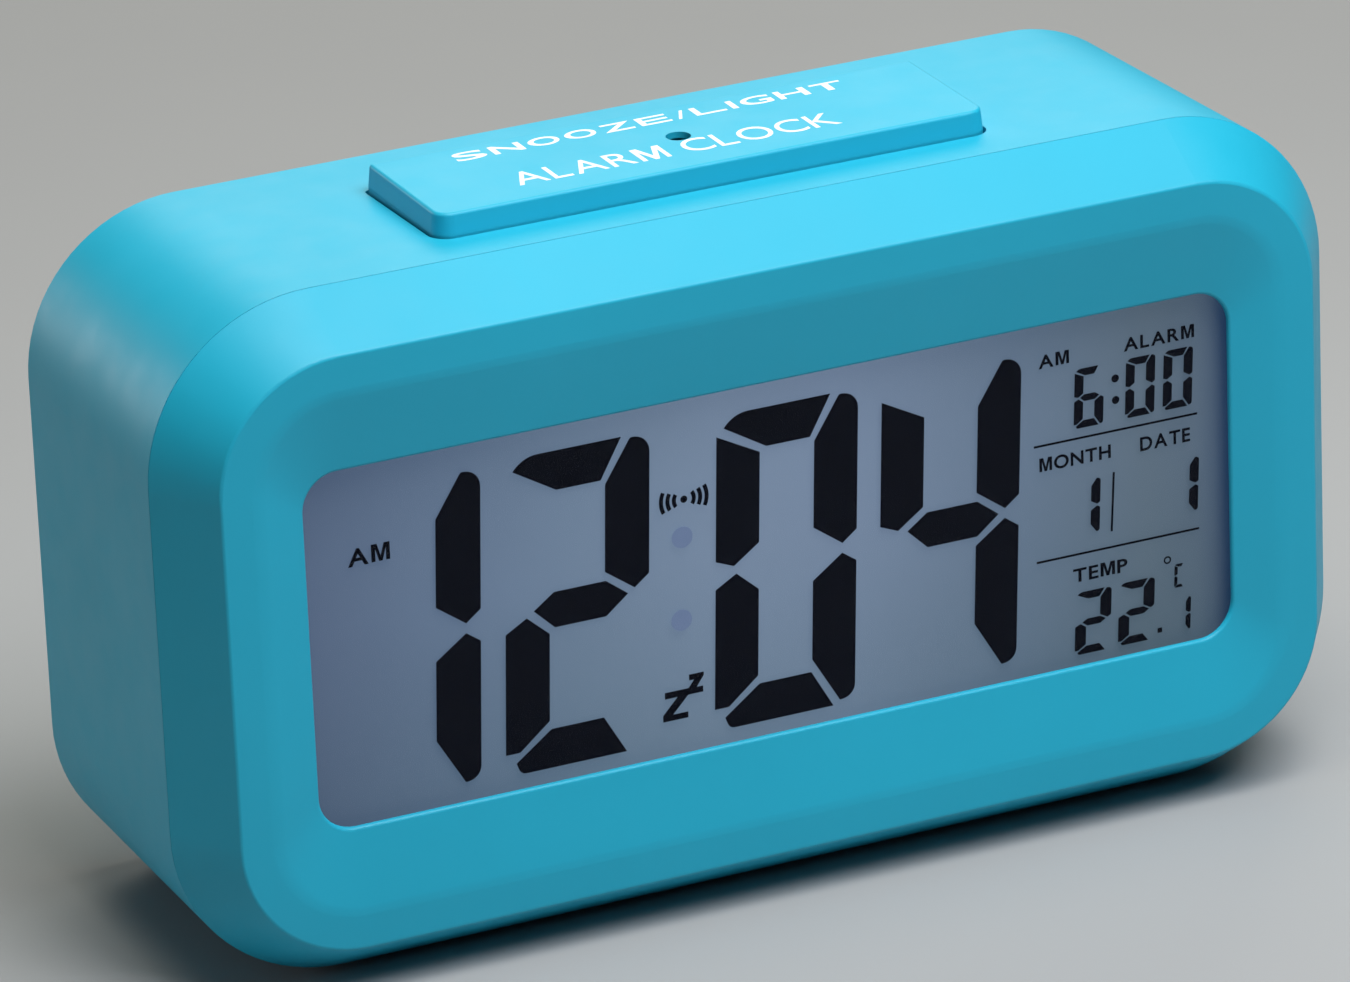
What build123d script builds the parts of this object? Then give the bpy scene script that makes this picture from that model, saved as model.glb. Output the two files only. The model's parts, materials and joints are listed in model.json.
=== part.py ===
"""Digital alarm clock with a snooze bar, an LCD window and a rear battery door.

Millimetres. +Z is up and the display faces -Y. The origin is at the bottom centre, on the surface
that the clock stands on. Each sub-part is one STEP file in parts/.
"""

from build123d import *
from math import radians, tan
import os

# ---------------------------------------------------------------- driving dimensions

CASE_WIDTH = 135.0
CASE_HEIGHT = 75.4
CASE_DEPTH = 45.0
CORNER_RADIUS = 18.5
WALL = 2.0
FOOT_HEIGHT = 0.8  # how far the rubber feet stand out below the case

BEZEL_DEPTH = 7.5  # the front shell, from the front rim back to the seam
RIM_INSET = 4.87  # the front rim lies this far inside the case's outline
BACK_TAPER_DEPTH = 1.4
DRAFT_INSET = 1.0  # by which the rear case's sides and top draw in from the seam back to the tapered edge
RIM_RADIUS = 0.45  # rounds the front rim
BACK_EDGE_RADIUS = 0.8
SEAM_GAP = 0.12
TONGUE_LENGTH = 1.8
POST_RADIUS = 3.2  # the bezel's posts for the case screws
TUBE_RADIUS = 4.0  # the rear case's tubes that meet them
BOSS_RADIUS = 2.2  # bosses for the board screws

WINDOW_WIDTH = 106.4
WINDOW_HEIGHT = 39.6
WINDOW_RADIUS = 4.0
FACE_BAND = 4.15  # flat band round the front face, outside the dish
DISH_DEPTH = 1.46
BREAK_RADIUS = 6.0  # softens the line between the flat band and the dish
WINDOW_LIP = 0.5  # from the dish's lowest edge back to the lens
LIP_RADIUS = 0.4  # rounds that edge

LENS_THICKNESS = 1.0
LENS_MARGIN = 1.8  # the lens is this much larger than the window on every side
LCD_WIDTH = 111.0
LCD_HEIGHT = 46.0
LCD_THICKNESS = 2.2
GUIDE_WIDTH = 106.6
GUIDE_HEIGHT = 40.0
GUIDE_THICKNESS = 2.0
LCD_FRAME_WIDTH = 116.0
LCD_FRAME_HEIGHT = 51.0
ZEBRA_Z = 21.9  # from the middle: the two rows of contacts on the display's back edges
ZEBRA_WIDTH = 1.8
ZEBRA_LENGTH = 100.0

BAR_WIDTH = 63.4
BAR_DEPTH = 18.6
BAR_MID_Y = 0.6
BAR_RISE = 2.4  # the snooze bar's top stands this far above the case
BAR_RADIUS = 2.0
BAR_REAR_RADIUS = 0.5  # the bar's rear corners are sharper than its front ones
BAR_DRAFT = 6.0  # degrees by which the bar's sides lean inwards above the case
BAR_GAP = 0.35
BAR_TRAVEL = 0.6
BAR_WALL = 1.6
BAR_EDGE_RADIUS = 0.4
BAR_FLANGE = 1.3  # the catch flange under the case reaches this far outside the bar
SENSOR_HOLE_RADIUS = 1.35
SENSOR_SKIN = 0.7  # the bar's wall is this thin round the sensor hole
SHROUD_RADIUS = 3.3  # inside the tube that keeps stray light from the sensor

KEY_RADIUS = 4.0
KEY_PITCH = 17.0
KEY_TRAVEL = 0.4
KEY_ROW_Z = 57.0
KEY_PANEL_WIDTH = 100.0
KEY_PANEL_HEIGHT = 13.0
KEY_PANEL_RADIUS = 3.0
SLIDER_X = 43.0
SLIDER_TRAVEL = 2.0

CELL_RADIUS = 5.25  # size AAA
CELL_LENGTH = 44.5
CELL_PITCH = 11.0
BAY_MID_Z = 26.0
BAY_WALL = 1.5
SPRING_WIRE = 0.6
SPRING_TURNS = 3.0
SPRING_RADIUS = 3.0

DOOR_WIDTH = 56.0
DOOR_HEIGHT = 36.0
DOOR_THICKNESS = 1.6
DOOR_GAP = 0.2

BOARD_THICKNESS = 1.6
SWITCH_SIDE = 6.0
PLUNGER_RADIUS = 1.7
SCREW_CLEARANCE = 0.02  # threads are plain cylinders in plain holes
BOARD_SCREW_HEAD_RADIUS = 1.8
BOARD_SCREW_HEAD_HEIGHT = 1.3
CASE_SCREW_HEAD_RADIUS = 2.5
CASE_SCREW_HEAD_HEIGHT = 1.8

THERMISTOR_LEG_RADIUS = 0.25
LEAD_DIAMETER = 1.2
BUZZER_LEAD_DIAMETER = 0.9
RIBBON_THICKNESS = 0.9
KEY_RIBBON_WIDTH = 8.0
SNOOZE_RIBBON_WIDTH = 5.0

# ---------------------------------------------------------------- derived places

FRONT_Y = -CASE_DEPTH / 2
BACK_Y = CASE_DEPTH / 2
SEAM_Y = FRONT_Y + BEZEL_DEPTH
TAPER_Y = BACK_Y - BACK_TAPER_DEPTH
CASE_BOTTOM = FOOT_HEIGHT
CASE_TOP = FOOT_HEIGHT + CASE_HEIGHT
MID_Z = (CASE_BOTTOM + CASE_TOP) / 2

SLOPE = RIM_INSET / BEZEL_DEPTH  # both tapered edges have this inset per depth
BACK_INSET = SLOPE * BACK_TAPER_DEPTH
BACK_WALL_Y = BACK_Y - WALL

LENS_Y = FRONT_Y + DISH_DEPTH + WINDOW_LIP
LENS_BACK_Y = LENS_Y + LENS_THICKNESS
LCD_Y = LENS_BACK_Y + 0.04
LCD_BACK_Y = LCD_Y + LCD_THICKNESS
GUIDE_Y = LCD_BACK_Y + 0.05
GUIDE_BACK_Y = GUIDE_Y + GUIDE_THICKNESS
FRAME_BACK_Y = -11.55
BOARD_Y = -11.5
BOARD_BACK_Y = BOARD_Y + BOARD_THICKNESS

# Case screws: four posts on the bezel, met by four tubes from the rear case.
CASE_SCREW_X = 52.0
CASE_SCREW_Z = 30.0  # from the case's middle
CASE_SCREW_PLACES = [(sx * CASE_SCREW_X, MID_Z + sz * CASE_SCREW_Z) for sx in (-1, 1) for sz in (-1, 1)]
CASE_SCREW_RADIUS = 1.3
CASE_SCREW_SEAT_Y = -6.0
CASE_SCREW_END_Y = -17.5
POST_END_Y = -12.0
TUBE_END_Y = -11.9

BOARD_SCREW_PLACES = [(sx * 60.5, MID_Z + sz * 14.0) for sx in (-1, 1) for sz in (-1, 1)]
BOARD_SCREW_RADIUS = 1.0

# The recessed panel that the keys and the slide switches stand in.
PANEL_FLOOR_Y = BACK_Y - 1.4
PANEL_INNER_Y = PANEL_FLOOR_Y - 1.8
KEY_FACE_Y = PANEL_FLOOR_Y + 1.0
KEY_FLANGE_Y = PANEL_INNER_Y - 0.1
KEY_FOOT_Y = KEY_FLANGE_Y - 1.1
KEY_BOARD_Y = 12.3
KEY_BOARD_BACK_Y = KEY_BOARD_Y + BOARD_THICKNESS
KEY_SWITCH_TOP_Y = 17.3
SLIDE_COVER_Y = KEY_BOARD_BACK_Y + 3.5
SLIDE_TOP_Y = SLIDE_COVER_Y + 0.5
KEY_BOARD_SCREW_X = [-34.25, 0.0, 34.25]
KEYS = {"mode": -1.5, "set": -0.5, "up": 0.5, "down": 1.5}  # places along the row, in pitches

BAR_TOP = CASE_TOP + BAR_RISE
CASE_CEILING = CASE_TOP - WALL
SNOOZE_BOARD_TOP = 65.0
SNOOZE_BOARD_LOW = SNOOZE_BOARD_TOP - BOARD_THICKNESS
SNOOZE_BOARD_SCREW_X = 37.0
SNOOZE_SWITCH_X = 18.0
SNOOZE_SWITCH_TOP = SNOOZE_BOARD_TOP + 3.5
SNOOZE_PLUNGER_TOP = SNOOZE_SWITCH_TOP + 1.0
BAR_HOLLOW_TOP = BAR_TOP - BAR_WALL
SHROUD_LOW = CASE_CEILING - 2.7
SENSOR_Y = BAR_MID_Y + 0.1

BAY_HALF_WIDTH = 25.5
BAY_HALF_HEIGHT = 16.7
BAY_FLOOR_Y = 9.2
CELL_Y = BAY_FLOOR_Y + 0.2 + CELL_RADIUS
CELL_ROWS = {"lower": -1, "middle": 0, "upper": 1}
CONTACT_THICKNESS = 0.4
CONTACT_FACE_X = BAY_HALF_WIDTH - CONTACT_THICKNESS
DIMPLE_HEIGHT = 1.0
TAB_END_Y = 5.2  # the solder tabs end here, below the bay
CELL_TIP_X = CONTACT_FACE_X - DIMPLE_HEIGHT
CELL_BASE_X = CELL_TIP_X - CELL_LENGTH

DOOR_Y = BACK_Y - DOOR_THICKNESS
DOOR_OPENING_BOTTOM = BAY_MID_Z - DOOR_HEIGHT / 2 - DOOR_GAP  # the hinge line, at the back face
DOOR_BOTTOM = BAY_MID_Z - DOOR_HEIGHT / 2
DOOR_TOP = BAY_MID_Z + DOOR_HEIGHT / 2
TONGUE_X = 18.0
TONGUE_WIDTH = 8.0
LATCH_HALF_WIDTH = 6.0
LATCH_BEND_Y = 17.6  # the latch's two legs run from here to the door
LATCH_NOTCH_TOP = DOOR_TOP + 2.6

BUZZER_X = 44.0
BUZZER_Z = 27.0
BUZZER_RING_RADIUS = 11.2
BUZZER_PLATE_RADIUS = 10.1
BUZZER_PLATE_Y = 18.3
BUZZER_RING_Y = BUZZER_PLATE_Y - 1.0
SOUND_HOLE_RADIUS = 0.8

VENT_X = -44.0
FOOT_PLACES = [(sx * 42.0, y) for sx in (-1, 1) for y in (-9.5, 12.5)]
FOOT_RADIUS = 4.0
FOOT_POCKET = 0.5


# ---------------------------------------------------------------- shape helpers


def facing_front(x, y, z):
    """A plane whose normal is -Y, with its own x along X and its own y along Z."""
    return Plane(origin=(x, y, z), x_dir=(1, 0, 0), z_dir=(0, -1, 0))


def outline(inset):
    """Width, height and corner radius of the case's outline, moved inwards."""
    return CASE_WIDTH - 2 * inset, CASE_HEIGHT - 2 * inset, CORNER_RADIUS - inset


def slab(size, y_front, y_back, x=0.0, z=MID_Z):
    """A rounded rectangle (width, height, radius) carried along Y."""
    sketch = facing_front(x, y_back, z) * RectangleRounded(*size)
    return extrude(sketch, amount=y_back - y_front)


def frustum(size_a, y_a, size_b, y_b, z_a=MID_Z, z_b=MID_Z):
    """A straight-sided solid between two rounded rectangles."""
    first = facing_front(0, y_a, z_a) * RectangleRounded(*size_a)
    second = facing_front(0, y_b, z_b) * RectangleRounded(*size_b)
    return loft([first, second], ruled=True)


def block(x_range, y_range, z_range):
    """A box between two values on each axis."""
    ranges = (x_range, y_range, z_range)
    middle = [(low + high) / 2 for low, high in ranges]
    lengths = [high - low for low, high in ranges]
    return Pos(*middle) * Box(*lengths)


def rod_x(radius, y, z, x_low, x_high):
    circle = Plane(origin=(x_low, y, z), z_dir=(1, 0, 0)) * Circle(radius)
    return extrude(circle, amount=x_high - x_low)


def rod_y(radius, x, z, y_front, y_back):
    return extrude(facing_front(x, y_back, z) * Circle(radius), amount=y_back - y_front)


def rod_z(radius, x, y, z_low, z_high):
    circle = Plane(origin=(x, y, z_low)) * Circle(radius)
    return extrude(circle, amount=z_high - z_low)


def group(shapes):
    """Several separate solids in one sub-part."""
    return Compound(children=[solid for shape in shapes for solid in shape.solids()])


def bend_radii(points):
    """The largest arcs that fit at a route's corners: 0.45 of the shorter run over tan(half turn)."""
    corners = [Vector(*point) for point in points]
    radii = []
    for before, corner, after in zip(corners, corners[1:], corners[2:]):
        run_in = corner - before
        run_out = after - corner
        shorter = min(run_in.length, run_out.length)
        half_turn = radians(run_in.get_angle(run_out)) / 2
        radii.append(0.45 * shorter / tan(half_turn))
    return radii


def route(name, points):
    """Straight runs joined by tangent arcs."""
    radii = bend_radii(points)
    print(name, "bend radii", [round(radius, 1) for radius in radii])
    return FilletPolyline(*points, radius=radii)


def lead(name, points, diameter):
    """A round insulated wire along a route."""
    path = route(name, points)
    section = Plane(origin=path @ 0, z_dir=path % 0) * Circle(diameter / 2)
    return sweep(section, path=path)


def ribbon(name, points, width, thickness):
    """A flat ribbon cable, wide along X, along a route in a plane of constant X."""
    path = route(name, points)
    section = Plane(origin=path @ 0, x_dir=(1, 0, 0), z_dir=path % 0) * Rectangle(width, thickness)
    return sweep(section, path=path)


def tapping_screw(place, radius, head_radius, head_height, seat, end, slot=0.5):
    """A screw along Y at (x, z): its head is behind seat, and it ends in a short point."""
    x, z = place
    head = rod_y(head_radius, x, z, seat, seat + head_height)
    cross = [block((x - w, x + w), (seat + head_height - slot, seat + head_height), (z - h, z + h))
             for w, h in ((head_radius * 0.6, slot / 2), (slot / 2, head_radius * 0.6))]
    shank = rod_y(radius, x, z, end + radius, seat)
    tip_base = facing_front(x, end + radius, z) * Circle(radius)
    tip_end = facing_front(x, end, z) * Circle(radius / 4)
    tip = loft([tip_base, tip_end])
    return head + shank + tip - cross


# ---------------------------------------------------------------- case shells


def front_bezel():
    """The front shell: tapered sides, a flat band, and a dish that slopes in to the window."""
    shell = frustum(outline(0), SEAM_Y, outline(RIM_INSET), FRONT_Y)
    rim_edges = shell.edges().filter_by_position(Axis.Y, FRONT_Y, FRONT_Y)
    shell = fillet(rim_edges, RIM_RADIUS)
    window = (WINDOW_WIDTH, WINDOW_HEIGHT, WINDOW_RADIUS)
    dish_y = FRONT_Y + DISH_DEPTH
    dish = frustum(outline(RIM_INSET + FACE_BAND), FRONT_Y, window, dish_y)
    shell = shell - dish - slab(window, FRONT_Y, SEAM_Y)
    band = shell.faces().filter_by_position(Axis.Y, FRONT_Y, FRONT_Y)[0]
    break_edges = band.inner_wires()[0].edges()
    shell = fillet(break_edges, BREAK_RADIUS)
    lip_edges = shell.edges().filter_by_position(Axis.Y, dish_y, dish_y)
    shell = fillet(lip_edges, LIP_RADIUS)

    tongue_inset = WALL / 2 + 0.1
    inner_inset = tongue_inset + WALL / 2
    hollow_y = FRONT_Y + WALL
    hollow_inset = inner_inset + SLOPE * (SEAM_Y - hollow_y)
    hollow = frustum(outline(inner_inset), SEAM_Y, outline(hollow_inset), hollow_y)
    lens_size = (WINDOW_WIDTH + 2 * LENS_MARGIN + 0.3, WINDOW_HEIGHT + 2 * LENS_MARGIN + 0.3, WINDOW_RADIUS)
    ring_size = (lens_size[0] + 3.2, lens_size[1] + 3.2, WINDOW_RADIUS + 1.6)
    hollow = hollow - slab(ring_size, hollow_y, LENS_BACK_Y)
    shell = shell - hollow - slab(lens_size, LENS_Y, SEAM_Y)

    tongue = slab(outline(tongue_inset), SEAM_Y, SEAM_Y + TONGUE_LENGTH)
    tongue = tongue - slab(outline(inner_inset), SEAM_Y, SEAM_Y + TONGUE_LENGTH)
    shell = shell + tongue

    inside = slab(outline(1.0), FRONT_Y + 1.2, BACK_Y)  # keeps the posts from coming through the front
    for x, z in CASE_SCREW_PLACES:
        post = rod_y(POST_RADIUS, x, z, hollow_y - 0.5, POST_END_Y)
        shell = shell + (post & inside)
    for x, z in BOARD_SCREW_PLACES:
        shell = shell + rod_y(2.3, x, z, hollow_y - 0.5, BOARD_Y)
    for x, z in CASE_SCREW_PLACES:
        shell = shell - rod_y(CASE_SCREW_RADIUS + SCREW_CLEARANCE, x, z, CASE_SCREW_END_Y - 0.5, POST_END_Y)
    for x, z in BOARD_SCREW_PLACES:
        shell = shell - rod_y(BOARD_SCREW_RADIUS + SCREW_CLEARANCE, x, z, BOARD_Y - 6.5, BOARD_Y)
    return shell


def case_body():
    """The rear case's open shell, before anything is cut through it or stood inside it.

    Its sides and top draw in towards the back, as moulding needs, and its bottom stays level.
    """
    width, height, radius = outline(DRAFT_INSET)
    drawn_in = (width, height + DRAFT_INSET, radius)
    at_back = (width - 2 * BACK_INSET, height + DRAFT_INSET - 2 * BACK_INSET, radius - BACK_INSET)
    z = MID_Z - DRAFT_INSET / 2
    shell = frustum(outline(0), SEAM_Y + SEAM_GAP, drawn_in, TAPER_Y, z_b=z)
    shell = shell + frustum(drawn_in, TAPER_Y, at_back, BACK_Y, z, z)
    back_edges = shell.edges().filter_by_position(Axis.Y, BACK_Y, BACK_Y)
    shell = fillet(back_edges, BACK_EDGE_RADIUS)

    hollow = slab(outline(WALL), SEAM_Y, BACK_WALL_Y)
    rebate = slab(outline(WALL / 2), SEAM_Y, SEAM_Y + TONGUE_LENGTH + 0.2)
    return shell - hollow - rebate


def add_screw_tubes(shell):
    for x, z in CASE_SCREW_PLACES:
        shell = shell + rod_y(TUBE_RADIUS, x, z, TUBE_END_Y, BACK_WALL_Y + 0.5)
    for x, z in CASE_SCREW_PLACES:
        shell = shell - rod_y(CASE_SCREW_RADIUS + 0.3, x, z, TUBE_END_Y, BACK_Y)
        shell = shell - rod_y(CASE_SCREW_HEAD_RADIUS + 0.4, x, z, CASE_SCREW_SEAT_Y, BACK_Y)
    return shell


def add_key_panel(shell):
    """The recess for the keys and sliders, its thickened wall, and the key board's bosses."""
    recess = (KEY_PANEL_WIDTH, KEY_PANEL_HEIGHT, KEY_PANEL_RADIUS)
    thickened = (KEY_PANEL_WIDTH + 4.0, KEY_PANEL_HEIGHT + 3.0, KEY_PANEL_RADIUS + 1.0)
    shell = shell + slab(thickened, PANEL_INNER_Y, BACK_WALL_Y + 0.5, z=KEY_ROW_Z)
    shell = shell - slab(recess, PANEL_FLOOR_Y, BACK_Y, z=KEY_ROW_Z)
    for place in KEYS.values():
        shell = shell - rod_y(KEY_RADIUS + 0.25, place * KEY_PITCH, KEY_ROW_Z, PANEL_INNER_Y, BACK_Y)
    for x in (-SLIDER_X, SLIDER_X):
        shell = shell - slab((5.4, 2.6, 0.4), PANEL_INNER_Y, BACK_Y, x=x, z=KEY_ROW_Z)
    for x in KEY_BOARD_SCREW_X:
        shell = shell + rod_y(BOSS_RADIUS, x, KEY_ROW_Z, KEY_BOARD_BACK_Y, PANEL_INNER_Y + 0.5)
        hole_end = KEY_BOARD_BACK_Y + 5.0
        shell = shell - rod_y(BOARD_SCREW_RADIUS + SCREW_CLEARANCE, x, KEY_ROW_Z, KEY_BOARD_BACK_Y, hole_end)
    return shell


def add_battery_bay(shell):
    """The battery box, its ledge for the door, the tongue slots and the latch pocket."""
    ledge_y = BACK_WALL_Y - 1.6
    opening = (DOOR_WIDTH + 2 * DOOR_GAP, DOOR_HEIGHT + 2 * DOOR_GAP, 1.2)
    ledge_size = (opening[0] + 3.0, opening[1] + 3.0, 2.0)
    box_size = (2 * (BAY_HALF_WIDTH + BAY_WALL), 2 * (BAY_HALF_HEIGHT + BAY_WALL), 1.0)
    latch_half = LATCH_HALF_WIDTH + 1.0
    shell = shell + slab(box_size, BAY_FLOOR_Y - BAY_WALL, BACK_WALL_Y + 0.5, z=BAY_MID_Z)
    shell = shell + slab(ledge_size, ledge_y, BACK_WALL_Y + 0.5, z=BAY_MID_Z)
    pocket_y = LATCH_BEND_Y - 1.9  # the latch's bend stands just behind this
    pocket_across = (-latch_half - BAY_WALL, latch_half + BAY_WALL)
    pocket_walls = block(pocket_across, (pocket_y - 1.3, BACK_WALL_Y + 0.5),
                         (DOOR_TOP - 2.0, LATCH_NOTCH_TOP + BAY_WALL))
    shell = shell + pocket_walls

    bay_size = (2 * BAY_HALF_WIDTH, 2 * BAY_HALF_HEIGHT, 0.5)
    shell = shell - slab(bay_size, BAY_FLOOR_Y, BACK_Y, z=BAY_MID_Z)
    shell = shell - slab(opening, DOOR_Y, BACK_Y, z=BAY_MID_Z)
    bay_top = BAY_MID_Z + BAY_HALF_HEIGHT
    shell = shell - block((-latch_half, latch_half), (pocket_y, BACK_Y), (bay_top - 0.5, LATCH_NOTCH_TOP))

    bay_bottom = BAY_MID_Z - BAY_HALF_HEIGHT
    for x in (-TONGUE_X, TONGUE_X):
        across = (x - TONGUE_WIDTH / 2 - 0.3, x + TONGUE_WIDTH / 2 + 0.3)
        tongue_room = (BACK_WALL_Y - 2.9, BACK_WALL_Y)
        shell = shell - block(across, tongue_room, (DOOR_OPENING_BOTTOM - 3.0, bay_bottom + 0.2))
        shell = shell - block(across, (BACK_WALL_Y, DOOR_Y + 0.1), (DOOR_OPENING_BOTTOM, bay_bottom + 0.2))

    for side, row in ((-1, -1), (1, 1)):  # slots where the two solder tabs pass the bay's floor
        z = BAY_MID_Z + row * CELL_PITCH
        slot_x = sorted((side * (CONTACT_FACE_X - 0.1), side * BAY_HALF_WIDTH))
        shell = shell - block(slot_x, (BAY_FLOOR_Y - BAY_WALL, BAY_FLOOR_Y), (z - 1.7, z + 1.7))
    return shell


def add_snooze_seat(shell):
    """The top opening for the snooze bar, and the bosses that hold its board."""
    shell = shell - bar_slab(BAR_GAP, CASE_CEILING, CASE_CEILING + WALL)
    for x in (-SNOOZE_BOARD_SCREW_X, SNOOZE_BOARD_SCREW_X):
        shell = shell + rod_z(BOSS_RADIUS, x, BAR_MID_Y, SNOOZE_BOARD_TOP, CASE_CEILING + 0.5)
        hole_radius = BOARD_SCREW_RADIUS + SCREW_CLEARANCE
        shell = shell - rod_z(hole_radius, x, BAR_MID_Y, SNOOZE_BOARD_TOP, SNOOZE_BOARD_TOP + 5.5)
    return shell


def add_openings_and_rings(shell):
    """The buzzer's ring and sound holes, the thermistor's vents, and pockets for the feet."""
    shell = shell + rod_y(BUZZER_RING_RADIUS, BUZZER_X, BUZZER_Z, BUZZER_RING_Y, BACK_WALL_Y + 0.5)
    shell = shell - rod_y(BUZZER_PLATE_RADIUS - 0.9, BUZZER_X, BUZZER_Z, BUZZER_RING_Y, BACK_WALL_Y)
    shell = shell - rod_y(BUZZER_PLATE_RADIUS + 0.2, BUZZER_X, BUZZER_Z, BUZZER_RING_Y, BUZZER_PLATE_Y)
    sound_holes = PolarLocations(4.5, 6)
    for x, z in [(0.0, 0.0)] + [(place.position.X, place.position.Y) for place in sound_holes]:
        shell = shell - rod_y(SOUND_HOLE_RADIUS, BUZZER_X + x, BUZZER_Z + z, BACK_WALL_Y, BACK_Y)
    for z in (41.5, 44.0, 46.5):
        shell = shell - slab((10.0, 1.2, 0.5), BACK_WALL_Y, BACK_Y, x=VENT_X, z=z)
    for x, y in FOOT_PLACES:
        shell = shell - rod_z(FOOT_RADIUS + 0.1, x, y, CASE_BOTTOM, CASE_BOTTOM + FOOT_POCKET)
    return shell


def rear_case():
    shell = case_body()
    shell = add_battery_bay(shell)
    shell = add_key_panel(shell)
    shell = add_screw_tubes(shell)
    shell = add_snooze_seat(shell)
    return add_openings_and_rings(shell)


def rubber_feet():
    return group([rod_z(FOOT_RADIUS, x, y, 0.0, CASE_BOTTOM + FOOT_POCKET) for x, y in FOOT_PLACES])


def case_screws():
    return group([tapping_screw(place, CASE_SCREW_RADIUS, CASE_SCREW_HEAD_RADIUS, CASE_SCREW_HEAD_HEIGHT,
                                CASE_SCREW_SEAT_Y, CASE_SCREW_END_Y)
                  for place in CASE_SCREW_PLACES])


# ---------------------------------------------------------------- display stack


def display_lens():
    size = (WINDOW_WIDTH + 2 * LENS_MARGIN, WINDOW_HEIGHT + 2 * LENS_MARGIN, WINDOW_RADIUS - 0.15)
    return slab(size, LENS_Y, LENS_BACK_Y)


def lcd_panel():
    return slab((LCD_WIDTH, LCD_HEIGHT, 0.3), LCD_Y, LCD_BACK_Y)


def light_guide():
    return slab((GUIDE_WIDTH, GUIDE_HEIGHT, 0.5), GUIDE_Y, GUIDE_BACK_Y)


def zebra_strip(side):
    """A rubber connector strip between the display glass and the main board."""
    z = MID_Z + side * ZEBRA_Z
    return block((-ZEBRA_LENGTH / 2, ZEBRA_LENGTH / 2), (LCD_BACK_Y, BOARD_Y),
                 (z - ZEBRA_WIDTH / 2, z + ZEBRA_WIDTH / 2))


def lcd_frame():
    """The white holder that keeps the display, the light guide and the strips in place."""
    frame = slab((LCD_FRAME_WIDTH, LCD_FRAME_HEIGHT, 1.5), LCD_Y, FRAME_BACK_Y)
    frame = frame - slab((LCD_WIDTH + 0.4, LCD_HEIGHT + 0.4, 0.4), LCD_Y, GUIDE_Y)
    frame = frame - slab((GUIDE_WIDTH + 0.4, GUIDE_HEIGHT + 0.4, 0.5), GUIDE_Y, GUIDE_BACK_Y + 0.05)
    frame = frame - slab((100.0, 37.0, 2.0), GUIDE_BACK_Y + 1.25, FRAME_BACK_Y)
    for side in (-1, 1):
        z = MID_Z + side * ZEBRA_Z
        frame = frame - block((-ZEBRA_LENGTH / 2 - 0.5, ZEBRA_LENGTH / 2 + 0.5), (LCD_Y, FRAME_BACK_Y),
                              (z - ZEBRA_WIDTH / 2 - 0.1, z + ZEBRA_WIDTH / 2 + 0.1))
    led_pocket = block((GUIDE_WIDTH / 2 + 0.1, 56.7), (GUIDE_Y, FRAME_BACK_Y), (MID_Z - 13, MID_Z + 13))
    return frame - led_pocket


def backlight_board():
    return block((55.6, 56.6), (GUIDE_Y + 0.2, BOARD_Y), (MID_Z - 12.5, MID_Z + 12.5))


def backlight_leds():
    """Three side-facing lamps at the right edge of the light guide."""
    across = (53.9, 55.6)
    deep = (GUIDE_Y + 0.2, GUIDE_BACK_Y - 0.1)
    return group([block(across, deep, (MID_Z + z - 1.75, MID_Z + z + 1.75)) for z in (-8.0, 0.0, 8.0)])


# ---------------------------------------------------------------- main board


def main_board():
    board = slab((126.0, 51.2, 5.0), BOARD_Y, BOARD_BACK_Y)
    for x, z in BOARD_SCREW_PLACES:
        board = board - rod_y(BOARD_SCREW_RADIUS + 0.1, x, z, BOARD_Y, BOARD_BACK_Y)
    return board


def board_screws():
    return group([tapping_screw(place, BOARD_SCREW_RADIUS, BOARD_SCREW_HEAD_RADIUS, BOARD_SCREW_HEAD_HEIGHT,
                                BOARD_BACK_Y, BOARD_Y - 6.0)
                  for place in BOARD_SCREW_PLACES])


def clock_chip():
    """The blob of epoxy over the clock's bare chip."""
    blob = rod_y(7.5, 0.0, MID_Z + 6.0, BOARD_BACK_Y, BOARD_BACK_Y + 1.8)
    top_edge = blob.edges().filter_by_position(Axis.Y, BOARD_BACK_Y + 1.8, BOARD_BACK_Y + 1.8)
    return fillet(top_edge, 1.6)


def crystal():
    """The watch crystal's can, lying on the board, with its two legs."""
    y = BOARD_BACK_Y + 1.05
    can = rod_x(1.0, y, MID_Z + 6.0, -20.0, -14.0)
    legs = [rod_x(0.2, y, MID_Z + 6.0 + z, -14.0, -11.5) for z in (-0.4, 0.4)]
    pins = [rod_y(0.2, -11.6, MID_Z + 6.0 + z, BOARD_BACK_Y, y) for z in (-0.4, 0.4)]
    return can + legs + pins


def capacitors():
    """Two electrolytic capacitors standing on the main board."""
    cans = []
    for x, z in ((20.0, MID_Z + 8.0), (20.0, MID_Z)):
        can = rod_y(2.5, x, z, BOARD_BACK_Y + 0.3, BOARD_BACK_Y + 7.0)
        pins = [rod_y(0.25, x + dx, z, BOARD_BACK_Y, BOARD_BACK_Y + 0.3) for dx in (-1.0, 1.0)]
        cans.append(can + pins)
    return group(cans)


# ---------------------------------------------------------------- snooze bar and its board


def bar_slab(grow, z_low, z_high, draft=0.0):
    """The snooze bar's plan outline, grown or shrunk, carried along Z with its sides leaning inwards."""
    plan = Rectangle(BAR_WIDTH + 2 * grow, BAR_DEPTH + 2 * grow)
    plan = fillet(plan.vertices().group_by(Axis.Y)[0], max(BAR_RADIUS + grow, 0.6))
    plan = fillet(plan.vertices().group_by(Axis.Y)[-1], max(BAR_REAR_RADIUS + grow, 0.3))
    return extrude(Plane(origin=(0, BAR_MID_Y, z_low)) * plan, amount=z_high - z_low, taper=draft)


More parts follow.
